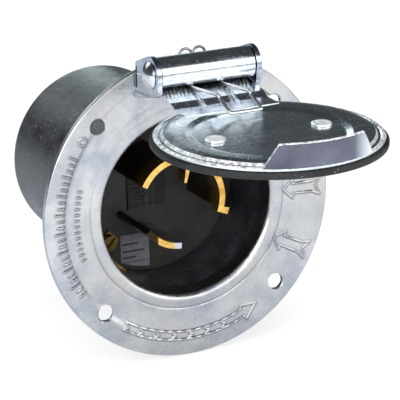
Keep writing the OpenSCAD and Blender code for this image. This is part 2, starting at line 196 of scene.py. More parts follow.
def smoothPath(points, perSpan):
    # a curve through given points
    p = np.asarray(points, float)
    p = np.vstack([2 * p[0] - p[1], p, 2 * p[-1] - p[-2]])
    out = []
    for i in range(1, len(p) - 2):
        for k in range(perSpan):
            t = k / perSpan
            out.append(0.5 * (2 * p[i] + (p[i + 1] - p[i - 1]) * t
                              + (2 * p[i - 1] - 5 * p[i] + 4 * p[i + 1] - p[i + 2]) * t * t
                              + (3 * p[i] - p[i - 1] - 3 * p[i + 1] + p[i + 2]) * t ** 3))
    out.append(p[-2])
    return np.array(out)


def tube(path, radius, sides=12):
    # wire along a path, with rounded ends
    path = np.asarray(path, float)
    tangent = np.gradient(path, axis=0)
    tangent /= np.linalg.norm(tangent, axis=1)[:, None]
    side = np.cross(tangent[0], [0.31, 0.17, 0.93])
    a = np.linspace(0, 2 * math.pi, sides, endpoint=False)
    rings = []
    last = len(path) - 1
    for i, t in enumerate(tangent):
        side = side - (side @ t) * t
        side /= np.linalg.norm(side)
        other = np.cross(t, side)
        ring = np.outer(np.cos(a), side) + np.outer(np.sin(a), other)
        steps = [(0.0, 1.0)]
        if i == 0:
            steps = [(-0.8, 0.45), (-0.45, 0.85), (0.0, 1.0)]
        if i == last:
            steps = [(0.0, 1.0), (0.45, 0.85), (0.8, 0.45)]
        for along, wide in steps:
            rings.append(path[i] + t * along * radius + ring * radius * wide)
    return np.vstack(rings), sleeve(len(rings), sides)


def joined(parts):
    verts, faces, start = [], [], 0
    for v, f in parts:
        verts.append(v)
        faces += [[i + start for i in face] for face in f]
        start += len(v)
    return np.vstack(verts), faces


def newObject(name, data):
    obj = bpy.data.objects.new(name, data)
    bpy.context.scene.collection.objects.link(obj)
    return obj


def buildMesh(name, where, shape, smooth=35):
    # where: onPanel, onPin, onLid or onDisc, the frame that the shape is drawn in
    mesh = bpy.data.meshes.new(name)
    mesh.from_pydata(where(shape[0]).tolist(), [], shape[1])
    mesh.validate()
    mesh.update()
    obj = newObject(name, mesh)
    bpy.context.view_layer.objects.active = obj
    obj.select_set(True)
    bpy.ops.object.mode_set(mode="EDIT")
    bpy.ops.mesh.select_all(action="SELECT")
    bpy.ops.mesh.normals_make_consistent(inside=False)
    bpy.ops.object.mode_set(mode="OBJECT")
    obj.select_set(False)
    shadeSmooth(obj, smooth)
    return obj


def shadeSmooth(obj, angle):
    mesh = obj.data
    mesh.polygons.foreach_set("use_smooth", [True] * len(mesh.polygons))
    mesh.set_sharp_from_angle(angle=math.radians(angle))


def bevelled(obj, width, segments=3, angle=35):
    mod = obj.modifiers.new("easedEdges", "BEVEL")
    mod.width = width * mm
    mod.segments = segments
    mod.limit_method = "ANGLE"
    mod.angle_limit = math.radians(angle)
    mod.harden_normals = True
    return obj


def polar(radius, angle):
    return np.array([radius * math.cos(math.radians(angle)), radius * math.sin(math.radians(angle))])


def drilled(obj, bore, segments, radius, angles, smooth=35):
    # holes of one outline at places on a circle, cut behind the panel face
    cutters = []
    for angle in angles:
        verts, faces = turnedSolid(bore, segments)
        verts[:, :2] += polar(radius, angle)
        cutters.append((verts, faces))
    cutter = buildMesh("drill", onPanel, joined(cutters))
    mod = obj.modifiers.new("holes", "BOOLEAN")
    mod.object = cutter
    mod.operation = "DIFFERENCE"
    mod.solver = "EXACT"
    mesh = bpy.data.meshes.new_from_object(obj.evaluated_get(bpy.context.evaluated_depsgraph_get()))
    obj.modifiers.clear()
    obj.data = mesh
    bpy.data.objects.remove(cutter)
    shadeSmooth(obj, smooth)


def fit(obj, material, body, slotName, *nodes):
    # finish, body and CAD nodes of a new piece
    obj.data.materials.clear()
    obj.data.materials.append(material)
    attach(obj, body)
    if nodes:
        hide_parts(*nodes)
    return obj


# effects shared by the finishes
def newGroup(name, numbers, outputs):
    # a group that takes a Vector and numbers, and gives masks
    tree = bpy.data.node_groups.new(name, "ShaderNodeTree")
    tree.interface.new_socket("Vector", in_out="INPUT", socket_type="NodeSocketVector")
    for title, value in numbers.items():
        socket = tree.interface.new_socket(title, in_out="INPUT", socket_type="NodeSocketFloat")
        socket.default_value = value
    for title in outputs:
        tree.interface.new_socket(title, in_out="OUTPUT", socket_type="NodeSocketFloat")
    return tree, tree.nodes.new("NodeGroupInput").outputs, tree.nodes.new("NodeGroupOutput")


def plug(tree, node, settings):
    # sets a node's inputs: a socket is linked, anything else is its value
    for key, value in settings.items():
        if isinstance(value, bpy.types.NodeSocket):
            tree.links.new(value, node.inputs[key])
        else:
            node.inputs[key].default_value = value
    return node


def addNode(tree, kind, settings=None, **properties):
    node = tree.nodes.new("ShaderNode" + kind)
    for key, value in properties.items():
        setattr(node, key, value)
    return plug(tree, node, settings or {})


def maths(tree, operation, a, b=0.0, clamp=False):
    node = addNode(tree, "Math", {0: a, 1: b}, operation=operation, use_clamp=clamp)
    return node.outputs[0]


def plus(tree, value, mask, share):
    return maths(tree, "ADD", value, maths(tree, "MULTIPLY", mask, share))


def spread(tree, value, lowIn, highIn, lowOut=0.0, highOut=1.0):
    ends = {"From Min": lowIn, "From Max": highIn, "To Min": lowOut, "To Max": highOut}
    return addNode(tree, "MapRange", {"Value": value, **ends}).outputs["Result"]


def blendColour(tree, share, first, second):
    colours = [c if isinstance(c, bpy.types.NodeSocket) else (*c, 1.0) for c in (first, second)]
    node = addNode(tree, "Mix", data_type="RGBA")
    return plug(tree, node, {0: share, 6: colours[0], 7: colours[1]}).outputs[2]


def tinted(tree, colour, mask, share, other):
    return blendColour(tree, maths(tree, "MULTIPLY", mask, share), colour, other)


def makeCloudGroup():
    # broad bloom on plating and a fine grain
    sizes = {"Cloud size": 14.0, "Grain size": 0.6}
    tree, given, result = newGroup("platingBloom", sizes, ("Cloud", "Grain"))
    for title, detail, low, high in (("Cloud", 4.0, 0.36, 0.64), ("Grain", 3.0, 0.3, 0.7)):
        scale = maths(tree, "DIVIDE", 1.0, given[title + " size"])
        settings = {"Vector": given["Vector"], "Scale": scale, "Detail": detail, "Roughness": 0.6}
        noise = addNode(tree, "TexNoise", settings).outputs["Fac"]
        plug(tree, result, {title: spread(tree, noise, low, high)})
    return tree


def makeSpeckGroup():
    # scattered round specks: dust, pits and bright points
    sizes = {"Spacing": 1.4, "Share": 0.4, "Size": 0.25}
    tree, given, result = newGroup("scatteredSpecks", sizes, ("Mask",))
    scale = maths(tree, "DIVIDE", 1.0, given["Spacing"])
    cells = addNode(tree, "TexVoronoi", {"Vector": given["Vector"], "Scale": scale})
    split = addNode(tree, "SeparateColor", {"Color": cells.outputs["Color"]})
    chosen = maths(tree, "LESS_THAN", split.outputs[0], given["Share"])
    radius = maths(tree, "MULTIPLY", given["Size"], maths(tree, "ADD", split.outputs[1], 0.4))
    inside = maths(tree, "SUBTRACT", radius, cells.outputs["Distance"])
    dot = maths(tree, "MULTIPLY", spread(tree, inside, 0.0, 0.1), chosen, clamp=True)
    plug(tree, result, {"Mask": dot})
    return tree


def makeScratchGroup():
    # thin rubbed lines in two directions
    tree, given, result = newGroup("rubbedLines", {"Spacing": 1.0}, ("Mask",))
    lines = []
    for turn in ((0.3, 0.7, 0.2), (1.2, -0.4, 1.9)):
        drawn = {"Vector": given["Vector"], "Rotation": turn, "Scale": (0.05, 1.0, 1.0)}
        bent = addNode(tree, "Mapping", drawn).outputs[0]
        scale = maths(tree, "DIVIDE", 1.0, given["Spacing"])
        noise = addNode(tree, "TexNoise", {"Vector": bent, "Scale": scale, "Detail": 2.0})
        lines.append(spread(tree, noise.outputs["Fac"], 0.66, 0.72))
    plug(tree, result, {"Mask": maths(tree, "MAXIMUM", *lines)})
    return tree


cloudGroup = makeCloudGroup()
speckGroup = makeSpeckGroup()
scratchGroup = makeScratchGroup()


def useGroup(tree, group, settings):
    node = tree.nodes.new("ShaderNodeGroup")
    node.node_tree = group
    return plug(tree, node, settings).outputs


def cloudsOn(tree, place, cloud, grain):
    return useGroup(tree, cloudGroup, {"Vector": place, "Cloud size": cloud, "Grain size": grain})


def specksOn(tree, place, spacing, share, size):
    settings = {"Vector": place, "Spacing": spacing, "Share": share, "Size": size}
    return useGroup(tree, speckGroup, settings)["Mask"]


def rubsOn(tree, place, spacing):
    return useGroup(tree, scratchGroup, {"Vector": place, "Spacing": spacing})["Mask"]


def newMaterial(name, look):
    # an empty finish and its coordinates in millimetres
    mat = bpy.data.materials.new(name)
    mat.use_nodes = True
    tree = mat.node_tree
    shader = tree.nodes["Principled BSDF"]
    shader.inputs["Metallic"].default_value = look.get("metallic", 0.0)
    shader.inputs["Specular IOR Level"].default_value = look.get("specular", 0.5)
    place = addNode(tree, "TexCoord").outputs["Object"]
    scaled = addNode(tree, "VectorMath", {0: place, "Scale": 1 / mm}, operation="SCALE")
    return mat, tree, shader, scaled.outputs[0]


def surface(tree, shader, colour, rough, height, depth):
    bump = addNode(tree, "Bump", {"Height": height, "Strength": 1.0, "Distance": depth * mm})
    plug(tree, shader, {"Base Color": colour, "Roughness": rough, "Normal": bump.outputs[0]})


# plated metals
plating = {
    "metallic": 1.0, "cloud": 3.0, "grain": 0.5, "specks": 0.1, "speckSize": 0.2,
    "speckColour": (1.0, 1.0, 1.0), "bump": 0.003,
}
# the last colour of the flange's zinc is painted shade, laid along the raised marks and in the bead
# groove
flangeZinc = dict(
    plating, dark=(0.36, 0.38, 0.44), pale=(0.6, 0.61, 0.6), warm=(0.52, 0.49, 0.44),
    rough=(0.22, 0.38), cloud=13.0, grain=0.7, specks=0.12, speckSize=0.16,
    speckColour=(0.85, 0.85, 0.82), bump=0.007, paintedShade=(0.1, 0.11, 0.13))
# painted shade: a dark copy of the flange's zinc for the collar's bore
shadedZinc = dict(
    plating, dark=(0.09, 0.09, 0.095), pale=(0.2, 0.2, 0.21), warm=(0.12, 0.12, 0.12),
    rough=(0.25, 0.4), cloud=9.0, grain=0.6, specks=0.2, speckSize=0.18, speckColour=(0.4, 0.4, 0.4),
    bump=0.006)
# painted highlight: near-white mottled zinc for the up-facing faces of the lid's rim and the lip's edges
edgeHighlightZinc = dict(
    plating, dark=(0.1, 0.11, 0.12), pale=(0.98, 0.99, 1.0), warm=(0.55, 0.56, 0.58), metallic=0.45,
    rough=(0.25, 0.45), cloud=1.3, grain=0.4, specks=0.4, speckSize=0.25, bump=0.02)
rivetZinc = dict(
    plating, dark=(0.6, 0.64, 0.66), pale=(0.9, 0.93, 0.95), warm=(0.75, 0.76, 0.78), metallic=0.6,
    rough=(0.15, 0.28), cloud=2.5, bump=0.004)
# painted shade: the lip is a much darker copy of the lid's zinc; its paler end is a painted highlight
lipShadedZinc = dict(
    plating, dark=(0.085, 0.088, 0.115), pale=(0.17, 0.175, 0.22), warm=(0.14, 0.145, 0.18),
    rough=(0.07, 0.14), cloud=12.0, specks=0.12, speckSize=0.14, speckColour=(0.6, 0.62, 0.66),
    bright=((9.5, 16.5), (0.78, 0.81, 0.86)))
hingeZinc = dict(
    plating, dark=(0.62, 0.68, 0.76), pale=(0.93, 0.96, 0.98), warm=(0.74, 0.78, 0.84),
    rough=(0.12, 0.24), cloud=6.0, grain=0.45, specks=0.45, speckColour=(0.95, 0.97, 1.0), bump=0.006)
# painted shade: a darker, bluer copy of the hinge zinc for the ears and base
earShadedZinc = dict(
    hingeZinc, dark=(0.3, 0.34, 0.46), pale=(0.62, 0.67, 0.76), warm=(0.5, 0.54, 0.62))
lidZinc = dict(
    plating, dark=(0.55, 0.64, 0.66), pale=(0.78, 0.88, 0.89), warm=(0.66, 0.68, 0.72),
    rough=(0.15, 0.25), cloud=9.0, specks=0.6, speckSize=0.17, speckColour=(0.95, 1.0, 1.0), bump=0.006)
brightSteel = dict(
    plating, dark=(0.62, 0.63, 0.66), pale=(0.86, 0.87, 0.88), warm=(0.74, 0.74, 0.74),
    rough=(0.1, 0.2), grain=0.4, specks=0.2)
wireSteel = dict(
    plating, dark=(0.74, 0.73, 0.72), pale=(0.92, 0.91, 0.9), warm=(0.84, 0.8, 0.76),
    rough=(0.24, 0.36), speckSize=0.16)
# painted shade: a darker copy of the spring wire for the tails tucked behind the barrel
shadedTailSteel = dict(
    wireSteel, dark=(0.22, 0.22, 0.23), pale=(0.5, 0.5, 0.5), warm=(0.34, 0.32, 0.3))


def platedMetal(name, look):
    mat, tree, shader, place = newMaterial(name, look)
    bloom = cloudsOn(tree, place, look["cloud"], look["grain"])
    drift = cloudsOn(tree, place, look["cloud"] * 2.3, look["grain"] * 3)
    specks = specksOn(tree, place, 1.0, look["specks"], look["speckSize"])
    rub = rubsOn(tree, place, 1.1)
    colour = blendColour(tree, bloom["Cloud"], look["dark"], look["pale"])
    colour = tinted(tree, colour, drift["Cloud"], 0.6, look["warm"])
    colour = tinted(tree, colour, bloom["Grain"], 0.18, look["dark"])
    colour = tinted(tree, colour, specks, 0.55, look["speckColour"])
    if "bright" in look:  # painted highlight: one end is made paler, as if catching the light
        across = addNode(tree, "SeparateXYZ", {0: place}).outputs[0]
        colour = blendColour(tree, spread(tree, across, *look["bright"][0]), colour, look["bright"][1])
    if "paintedShade" in look:  # painted shade along the raised marks and in the bead groove
        paintedShadeMask = addNode(tree, "Attribute", attribute_name="paintedShade").outputs["Fac"]
        colour = tinted(tree, colour, paintedShadeMask, 0.7, look["paintedShade"])
    rough = spread(tree, drift["Grain"], 0.0, 1.0, *look["rough"])
    rough = plus(tree, plus(tree, rough, rub, 0.12), specks, 0.25)
    height = plus(tree, plus(tree, bloom["Grain"], specks, 1.2), rub, -0.5)
    surface(tree, shader, colour, rough, height, look["bump"])
    return mat


# brass, darker away from the working end, deeper into the can
brassLook = {
    "metallic": 1.0, "bright": (0.86, 0.58, 0.17), "deep": (0.55, 0.3, 0.06), "worn": (1.0, 0.82, 0.45),
    "darkTone": (0.035, 0.024, 0.01), "tipHighlight": (0.52, 0.54, 0.6), "rough": (0.12, 0.24),
    "darkDepth": (7.0, 14.0),
}


def brassFinish(name, highlightEnd=None, darkEnd=None, look=brassLook):
    mat, tree, shader, place = newMaterial(name, look)
    bloom = cloudsOn(tree, place, 3.5, 0.35)
    colour = blendColour(tree, bloom["Cloud"], look["deep"], look["bright"])
    colour = tinted(tree, colour, rubsOn(tree, place, 0.5), 0.5, look["worn"])
    across, depth, _ = addNode(tree, "SeparateXYZ", {0: place}).outputs
    # darker deeper into the can, and on one blade darker towards one end
    colour = tinted(tree, colour, spread(tree, depth, *look["darkDepth"]), 0.93, look["darkTone"])
    for ends, endTone in ((darkEnd, "darkTone"), (highlightEnd, "tipHighlight")):
        if ends:
            colour = blendColour(tree, spread(tree, across, *ends), colour, look[endTone])
    rough = spread(tree, bloom["Grain"], 0.0, 1.0, *look["rough"])
    surface(tree, shader, colour, rough, bloom["Cloud"], 0.05)
    return mat


# black finishes: enamel, phenolic and rubber
enamelLook = {
    "base": (0.006, 0.006, 0.007), "worn": (0.022, 0.023, 0.026), "dust": (0.36, 0.37, 0.38),
    "dustShare": 0.4, "dustSize": 0.18, "spacing": 1.2, "rough": (0.16, 0.42), "specular": 0.6,
    "bump": 0.03, "rub": 0.14,
}
insideLook = {
    "base": (0.005, 0.005, 0.006), "worn": (0.02, 0.019, 0.024), "dust": (0.22, 0.22, 0.22),
    "dustShare": 0.05, "dustSize": 0.14, "spacing": 2.2, "rough": (0.18, 0.34), "specular": 0.8,
    "bump": 0.012,
}
phenolicLook = {
    "base": (0.01, 0.01, 0.01), "worn": (0.024, 0.023, 0.022), "dust": (0.14, 0.13, 0.13),
    "dustShare": 0.06, "dustSize": 0.15, "spacing": 2.0, "rough": (0.42, 0.6), "specular": 0.4,
    "bump": 0.018,
}
rubberLook = {
    "base": (0.004, 0.004, 0.005), "worn": (0.014, 0.014, 0.014), "dust": (0.32, 0.32, 0.31),
    "dustShare": 0.3, "dustSize": 0.2, "spacing": 0.9, "rough": (0.5, 0.72), "specular": 0.4,
    "bump": 0.05,
}


def blackFinish(name, look):
    mat, tree, shader, place = newMaterial(name, look)
    bloom = cloudsOn(tree, place, 9.0, 0.5)
    dust = specksOn(tree, place, look["spacing"], look["dustShare"], look["dustSize"])
    colour = blendColour(tree, bloom["Cloud"], look["base"], look["worn"])
    colour = tinted(tree, colour, dust, 0.7, look["dust"])
    if "rub" in look:  # handling marks
        colour = tinted(tree, colour, rubsOn(tree, place, 1.6), look["rub"], look["dust"])
    patchy = maths(tree, "MULTIPLY", maths(tree, "ADD", bloom["Grain"], bloom["Cloud"]), 0.5)
    rough = spread(tree, patchy, 0.0, 1.0, *look["rough"])
    surface(tree, shader, colour, rough, maths(tree, "ADD", bloom["Grain"], dust), look["bump"])
    return mat


labelLook = {"paper": (0.17, 0.16, 0.19), "shade": (0.12, 0.115, 0.14), "ink": (0.02, 0.02, 0.025)}


def labelFinish(name, low, high):
    mat, tree, shader, place = newMaterial(name, {})
    bloom = cloudsOn(tree, place, 5.0, 0.3)
    rough = spread(tree, bloom["Grain"], 0.0, 1.0, 0.45, 0.65)
    surface(tree, shader, blendColour(tree, bloom["Cloud"], low, high), rough, bloom["Grain"], 0.004)
    return mat


zincFlange = platedMetal("zincFlange", flangeZinc)
zincShaded = platedMetal("zincShaded", shadedZinc)
zincLipShaded = platedMetal("zincLipShaded", lipShadedZinc)
zincEdgeHighlight = platedMetal("zincEdgeHighlight", edgeHighlightZinc)
zincRivet = platedMetal("zincRivet", rivetZinc)
zincHinge = platedMetal("zincHinge", hingeZinc)
zincLid = platedMetal("zincLid", lidZinc)
steelBright = platedMetal("steelBright", brightSteel)
steelWire = platedMetal("steelWire", wireSteel)
steelTailShaded = platedMetal("steelTailShaded", shadedTailSteel)
zincEarShaded = platedMetal("zincEarShaded", earShadedZinc)
brassPlain = brassFinish("brassPlain")
# painted highlight: a pale silvery tip on one blade; the same blade is also darker towards its other end
brassTipHighlight = brassFinish("brassTipHighlight", highlightEnd=(-3.4, -2.9), darkEnd=(-8.6, -9.2))
enamelBlack = blackFinish("enamelBlack", enamelLook)
enamelInside = blackFinish("enamelInside", insideLook)
phenolicBlack = blackFinish("phenolicBlack", phenolicLook)
rubberBlack = blackFinish("rubberBlack", rubberLook)
labelPaper = labelFinish("labelPaper", labelLook["shade"], labelLook["paper"])
labelInk = labelFinish("labelInk", labelLook["ink"], labelLook["ink"])
print("finishes ready")

# flange: pressed plate with a rolled mouth, seat, raised marks and four holes
flangePlate = {
    "opening": 30.15, "roll": 2.2, "seatFace": -0.8, "seatEdge": 42.4, "rimStart": 45.2,
    "collarOut": 31.55, "collarEnd": 7.0, "relief": 33.2, "step": (44.7, 45.1), "stepHalf": (36, 52),
    "gentle": (35.5, 49.5), "firmSide": (172, 48, 78), "beadLine": 34.7, "beadDepth": 0.22,
    "seatLine": 37.3, "seatLineDepth": 0.1, "holeCircle": 87.8 / 2, "hole": 2.7,
    "holeAngles": (45, 135, 225, 315),
    "segments": 1060, "ringGap": 0.3, "markHeight": 0.27, "markWidth": 0.42,
}


def smoothStep(value, low, high):
    t = np.clip((value - low) / (high - low), 0, 1)
    return t * t * (3 - 2 * t)


def wobble(angles, seed, turns):
    # a repeatable uneven line round a rim
    rng = np.random.default_rng(seed)
    total = np.zeros_like(angles)
    for k in turns:
        total += rng.uniform(0.3, 1) * np.sin(k * angles + rng.uniform(0, 6.28))
    return total / len(turns)


def radialArrow(angle, tip=34.8, head=38.3, shaftEnd=45.3, notch=46.4, tail=48.1):
    # an outlined arrow that points to the opening
    along, across = polar(1, angle), polar(1, angle + 90)
    half = [(tip, 0), (head, 3.3), (head, 1.7), (shaftEnd, 1.8), (tail, 3.1), (notch, 0)]
    upper = [along * r + across * w for r, w in half]
    lower = [along * r - across * w for r, w in half[::-1]]
    return upper + lower[1:]


def turnArrow(start, end, low, high):
    # a long outlined arrow that runs round the plate
    mid, third = (low + high) / 2, (high - low) / 4
    outer = [polar(mid + third, a) for a in np.linspace(start, end - 7, 14)]
    inner = [polar(mid - third, a) for a in np.linspace(end - 7, start, 14)]
    head = [polar(high, end - 7), polar(mid, end), polar(low, end - 7)]
    return outer + head + inner + [polar(mid, start + 2.2), outer[0]]


flangeMarks = {
    "arrows": (0.4, -26.8), "turnArrow": (-124, -58, 41.4, 46.8), "chevrons": (-116, -70, 8),
    "ticks": (151, 213, 2.6), "tickLow": 44.2, "tickHigh": (47.2, 46.2, 46.2),
    "shortTicks": (164, 198, 2.8), "ring": (45.6, 143.5), "ringRadius": 1.3,
}


def raisedMarks(part):
    lines = [radialArrow(a) for a in part["arrows"]] + [turnArrow(*part["turnArrow"])]
    for a in np.arange(*part["chevrons"]):  # inside the long arrow
        lines.append([polar(44.9, a), polar(44.1, a + 1.6), polar(43.3, a)])
    for i, a in enumerate(np.arange(*part["ticks"])):  # graduations, every third one long
        lines.append([polar(part["tickLow"], a), polar(part["tickHigh"][i % 3], a)])
    for a in np.arange(*part["shortTicks"]):  # inner graduations
        lines.append([polar(38.9, a), polar(40.0, a)])
    lines.append([polar(*part["ring"]) + polar(part["ringRadius"], a) for a in range(0, 361, 24)])
    return lines


def markDistance(x, z, lines):
    # how far each point is from the nearest line
    nearest = np.full(x.shape, 9.0)
    for line in lines:
        line = np.array(line)
        low, high = line.min(0) - 1, line.max(0) + 1
        near = (x > low[0]) & (x < high[0]) & (z > low[1]) & (z < high[1])
        px, pz = x[near], z[near]
        best = nearest[near]
        for a, b in zip(line[:-1], line[1:]):
            d = b - a
            t = np.clip(((px - a[0]) * d[0] + (pz - a[1]) * d[1]) / max(d @ d, 1e-9), 0, 1)
            best = np.minimum(best, np.hypot(px - a[0] - t * d[0], pz - a[1] - t * d[1]))
        nearest[near] = best
    return nearest


def makeFlange(part):
    opening, roll, collar, end = (part[key] for key in ("opening", "roll", "collarOut", "collarEnd"))
    seat, drop, hole = part["seatFace"], rimFace - part["seatFace"], part["hole"]
    rollAt = (opening + roll, seat + roll)
    mouth = arc(rollAt, roll, -180, -90, 12)
    front = [(r, 0.0) for r in np.arange(rollAt[0] + 0.3, flangeRadius - 0.5, part["ringGap"])]
    rim = arc((flangeRadius - 0.55, rimFace + 0.55), 0.55, -90, 0, 5)
    rear = [(flangeRadius, -0.2), (flangeRadius - 0.2, 0.0), (46.0, 0.0), (40.0, 0.0), (35.0, 0.0),
            (part["relief"], 0.0), (part["relief"] - 0.1, -0.15), (collar + 0.5, -0.15),
            (collar + 0.1, 0.05), (collar, 0.6), (collar, end - 0.2), (collar - 0.2, end),
            (opening + 0.2, end), (opening, end - 0.2)]
    profile = mouth + front + rim + rear
    verts, faces = turned(profile, part["segments"])
    grid = verts.reshape(part["segments"], len(profile), 3)
    shown = slice(len(mouth), len(mouth) + len(front))
    x, z = grid[:, shown, 0], grid[:, shown, 1]
    r = np.hypot(x, z)
    theta = np.degrees(np.arctan2(z, x))
    fromTop = np.abs((theta + 90) % 360 - 180)
    middle, near, far = part["firmSide"]
    fromSide = np.abs((theta - middle + 180) % 360 - 180)
    depth = seat + drop * smoothStep(r, *part["gentle"])
    for edges, share in (((part["seatEdge"], part["rimStart"]), 1 - smoothStep(fromSide, near, far)),
                         (part["step"], 1 - smoothStep(fromTop, *part["stepHalf"]))):
        depth += (seat + drop * smoothStep(r, *edges) - depth) * share
    bead = np.exp(-((r - part["beadLine"] - 0.12 * np.sin(np.radians(theta) * 9)) / 0.26) ** 2)
    depth += part["beadDepth"] * bead * (0.35 + 0.65 * smoothStep(fromTop, 50, 110))
    inner = np.exp(-((r - part["seatLine"]) / 0.24) ** 2) * (1 - smoothStep(np.abs(theta - 132), 18, 30))
    depth += part["seatLineDepth"] * inner
    depth += 0.022 * np.sin(x / 3.2 + 1) * np.sin(z / 3.7) * smoothStep(r, 35, 38)  # not quite flat
    nearest = markDistance(x, z, raisedMarks(flangeMarks))
    width = part["markWidth"]
    grid[:, shown, 2] = depth - part["markHeight"] * (1 - smoothStep(nearest, width * 0.3, width))
    # painted shade: dark lines beside the raised marks and an uneven dark line in the bead groove, kept
    # as a point attribute
    besideMarks = 0.9 * (1 - smoothStep(np.abs(nearest - width), 0.08, 0.32))
    patches = 0.75 + 0.2 * wobble(np.radians(theta), 3, range(15, 60, 7))
    paintedShadeMask = np.zeros(grid.shape[:2])
    paintedShadeMask[:, shown] = np.maximum(besideMarks, patches * bead * smoothStep(fromTop, 60, 110))
    obj = buildMesh("flangePlate", onPanel, (verts, faces))
    paintedShade = obj.data.attributes.new("paintedShade", "FLOAT", "POINT")
    paintedShade.data.foreach_set("value", paintedShadeMask.ravel())
    bore = rounded([(0, -4), (hole + 0.9, -4), (hole + 0.9, rimFace - 0.35), (hole, rimFace + 0.35),
                    (hole, -0.25), (hole + 0.6, 0.3), (hole + 0.6, 2), (0, 2)], 0.25, 3, closed=False)
    drilled(obj, bore, 64, part["holeCircle"], part["holeAngles"], 32)
    fit(obj, zincFlange, "housing", "zinc_flange", "flange_plate")
    obj.data.materials.append(zincShaded)
    for face in obj.data.polygons:  # painted shade: the collar's bore gets the dark copy of the zinc
        c = face.center / mm
        if math.hypot(c[0], c[2]) < opening + 0.4 and c[1] > rollAt[1] - 0.5:
            face.material_index = 1


makeFlange(flangePlate)
print("flange made")

# can behind the panel, with its grommet
housingCan = {
    "wall": 1.15, "corner": 4.0, "flareIn": 31.65, "mouth": 0.6, "flareEnd": 8.5, "neck": 11.0,
    "backHole": 11.0, "screwCircle": 23.5, "screwHole": 1.6, "screwAngles": (95, 275), "segments": 240,
}


def makeCan(part):
    wall, corner, back = part["wall"], part["corner"], canBack
    flareIn, flareEnd, mouth, neck = (part[key] for key in ("flareIn", "flareEnd", "mouth", "neck"))
    hole, flareOut, inside, turn = part["backHole"], flareIn + wall, canRadius - wall, back - corner
    screw = part["screwHole"]
    shell = [(flareIn + 0.2, mouth), (flareOut - 0.2, mouth), (flareOut, mouth + 0.3),
             (flareOut, flareEnd - 0.6), (flareOut - 0.12, flareEnd + 0.2),
             (canRadius + 0.12, neck - 0.4), (canRadius, neck + 0.5)]
    shell += [(canRadius, y) for y in np.linspace(14, turn - 1, 12)]
    shell += arc((canRadius - corner, turn), corner, 0, 90, 10)
    shell += [(22, back), (hole + 0.3, back), (hole, back - 0.3),
              (hole, back - wall + 0.2), (hole + 0.2, back - wall), (22, back - wall)]
    shell += arc((canRadius - corner, turn), corner - wall, 90, 0, 8)
    shell += [(inside, y) for y in np.linspace(turn - 1, 14, 8)]
    shell += [(inside, neck), (flareIn, flareEnd), (flareIn, mouth + 0.2)]
    obj = buildMesh("housingCan", onPanel, turned(shell, part["segments"]))
    bore = [(0, back - 3), (screw, back - 3), (screw, back + 2), (0, back + 2)]
    drilled(obj, bore, 32, part["screwCircle"], part["screwAngles"])
    fit(obj, enamelBlack, "housing", "black_enamel", "housing_can")
    obj.data.materials.append(enamelInside)
    for face in obj.data.polygons:  # the inner wall has its own, darker finish
        c = face.center / mm
        if math.hypot(c[0], c[2]) < canRadius - 0.5 and mouth < c[1] < back - 0.6:
            face.material_index = 1


cableGrommet = {"hole": 7.5, "groove": 10.85, "flange": 12.8, "lip": 12.4, "nose": 9.4, "proud": 3.2}


def makeGrommet(part):
    hole, groove, flange = part["hole"], part["groove"], part["flange"]
    back, inside, end = canBack, canBack - housingCan["wall"], canBack + part["proud"]
    ring = rounded([(hole, inside - 2.5), (flange, inside - 2.5), (flange, inside - 0.15),
                    (groove, inside - 0.15), (groove, back + 0.15), (flange, back + 0.15),
                    (part["lip"], back + 2), (part["nose"], end), (hole, end)], 0.35)
    obj = buildMesh("cableGrommet", onPanel, turned(ring, 96))
    fit(obj, rubberBlack, "housing", "black_rubber", "cable_grommet")


makeCan(housingCan)
makeGrommet(cableGrommet)
print("can made")

# hinge: ears, base, pin and the spring's tails
hingeBracket = {
    "earInside": 16.3, "nose": 5.9, "lowZ": 38.8, "baseZ": (41.4, 50.8), "baseThickness": 1.6,
    "edge": 0.45, "baseEdge": 0.3,
}


def makeBracket(part):
    nose, lowZ, (z0, z1) = part["nose"], part["lowZ"], part["baseZ"]
    px, pz, face = -pinAt[1], pinAt[2], -rimFace
    outline = [(0.8, lowZ), (face + 15.2, lowZ + 3.4), (face + 16.3, lowZ + 4.6)]
    outline += [(px + nose * math.cos(math.radians(a)), pz + nose * math.sin(math.radians(a)))
                for a in range(-25, 106, 10)]
    outline += [(face + 0.1, z1), (face + 0.1, z0), (0.8, z0 - 0.3)]
    eased = rounded(outline, [0.8, 1.2, 1.5] + [0.0] * 14 + [1.0, 0.2, 0.3])
    local = np.column_stack([eased[:, 0] - px, eased[:, 1] - pz])
    sides = [extruded(local, low, high) for low, high in ((-earOutside, -part["earInside"]),
                                                          (part["earInside"], earOutside))]
    ears = bevelled(buildMesh("hingeEars", onPin, joined(sides)), part["edge"], 4)
    fit(ears, zincEarShaded, "housing", "zinc_hinge", "hinge_bracket")
    plate = rounded([(-earOutside, z0), (earOutside, z0), (earOutside, z1), (-earOutside, z1)], 1.2, 5)
    sheet = extruded(plate, rimFace - part["baseThickness"], rimFace - 0.02)
    base = bevelled(buildMesh("hingeBase", onPanel, sheet), part["baseEdge"])
    fit(base, zincEarShaded, "housing", "zinc_hinge")


hingePin = {"shaft": 3.0, "head": 4.4, "heights": (2.3, 1.4), "edge": 0.35}


def domeProfile(radius, height, edge):
    # a crowned head with a short straight edge under the crown
    rise = height - edge
    ball = (radius ** 2 + rise ** 2) / (2 * rise)
    low = math.degrees(math.asin((ball - height + edge) / ball))
    return [(0, 0), (radius - 0.15, 0), (radius, 0.12), *arc((0, height - ball), ball, low, 90, 10)]


